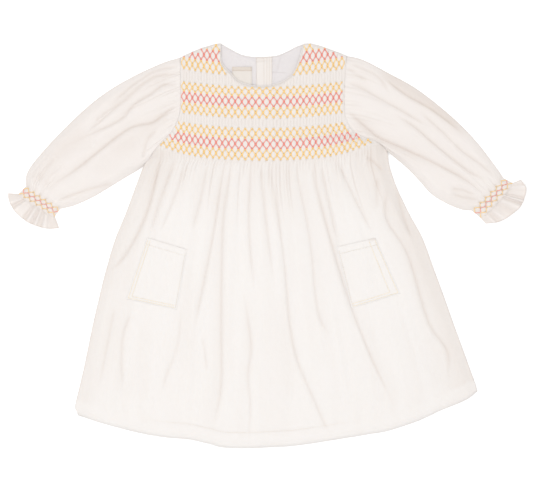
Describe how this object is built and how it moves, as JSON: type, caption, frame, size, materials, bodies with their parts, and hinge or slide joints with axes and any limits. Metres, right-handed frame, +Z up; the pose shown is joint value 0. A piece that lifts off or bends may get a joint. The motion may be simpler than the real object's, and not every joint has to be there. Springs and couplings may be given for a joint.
{
  "type": "smocked toddler dress",
  "caption": "Long-sleeved toddler dress with a diamond-smocked chest and cuffs, ruffled cuffs, a gathered skirt and patch pockets, laid flat on its back.",
  "frame": {"origin": "on the surface the dress lies on, under the middle of its outline", "axes": "+X towards the wearer's left sleeve, +Y from hem to neck, +Z up out of the front"},
  "size_m": [0.6571, 0.5134, 0.0103],
  "materials": {
    "cotton": "matt plain-weave cotton voile, warm off-white, smocked with yellow and coral thread",
    "lining": "matt plain-weave cotton lawn, cool white",
    "label": "woven beige tape with plain brown lines",
    "button": "satin cream"
  },
  "bodies": {
    "root": {"front": "cotton", "sleeve_right": "cotton", "sleeve_left": "cotton", "pocket_right": "cotton", "pocket_left": "cotton", "back_skirt": "cotton", "back_yoke_right": "cotton", "back_yoke_left": "cotton", "button_stand": "cotton", "neck_binding_front": "cotton", "neck_binding_back_right": "cotton", "neck_binding_back_left": "cotton", "neck_lining_right": "lining", "neck_lining_left": "lining", "label": "label", "button_1": "button", "button_2": "button", "button_3": "button"}
  },
  "joints": []
}
